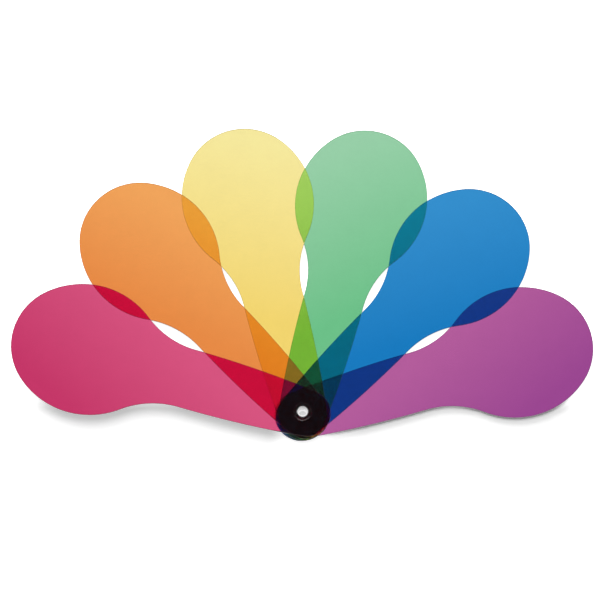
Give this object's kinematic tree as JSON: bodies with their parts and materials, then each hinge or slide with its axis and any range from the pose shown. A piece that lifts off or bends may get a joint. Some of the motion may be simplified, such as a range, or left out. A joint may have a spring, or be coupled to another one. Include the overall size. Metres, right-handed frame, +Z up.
{
  "type": "colour mixing paddle fan",
  "caption": "Fan of see-through coloured paddles that turn on a hollow clear snap rivet, so that any of them can be laid over one another to mix colours.",
  "frame": {"origin": "on the rivet's axis, in the plane that the fan lies on: the lower end of the rivet's bore", "axes": "+Z up along the rivet's axis, towards the red paddle; +Y where the fan opens, between the yellow and the green paddle; +X towards the purple paddle"},
  "size_m": [0.2654, 0.1466, 0.0095],
  "materials": {
    "clear_red": "see-through tinted sheet",
    "clear_orange": "see-through tinted sheet",
    "clear_yellow": "see-through tinted sheet",
    "clear_green": "see-through tinted sheet",
    "clear_blue": "see-through tinted sheet",
    "clear_purple": "see-through tinted sheet",
    "clear_rivet": "clear moulded plastic"
  },
  "bodies": {
    "rivet": {"rivet_sleeve": "clear_rivet", "rivet_post": "clear_rivet"},
    "red": {"red_paddle": "clear_red"},
    "orange": {"orange_paddle": "clear_orange"},
    "yellow": {"yellow_paddle": "clear_yellow"},
    "green": {"green_paddle": "clear_green"},
    "blue": {"blue_paddle": "clear_blue"},
    "purple": {"purple_paddle": "clear_purple"}
  },
  "joints": [
    {"name": "red_turn", "type": "hinge", "parent": "rivet", "child": "red", "pos_m": [0, 0, 0], "axis": [0, 0, 1], "continuous": true},
    {"name": "orange_turn", "type": "hinge", "parent": "rivet", "child": "orange", "pos_m": [0, 0, 0], "axis": [0, 0, 1], "continuous": true},
    {"name": "yellow_turn", "type": "hinge", "parent": "rivet", "child": "yellow", "pos_m": [0, 0, 0], "axis": [0, 0, 1], "continuous": true},
    {"name": "green_turn", "type": "hinge", "parent": "rivet", "child": "green", "pos_m": [0, 0, 0], "axis": [0, 0, 1], "continuous": true},
    {"name": "blue_turn", "type": "hinge", "parent": "rivet", "child": "blue", "pos_m": [0, 0, 0], "axis": [0, 0, 1], "continuous": true},
    {"name": "purple_turn", "type": "hinge", "parent": "rivet", "child": "purple", "pos_m": [0, 0, 0], "axis": [0, 0, 1], "continuous": true}
  ]
}
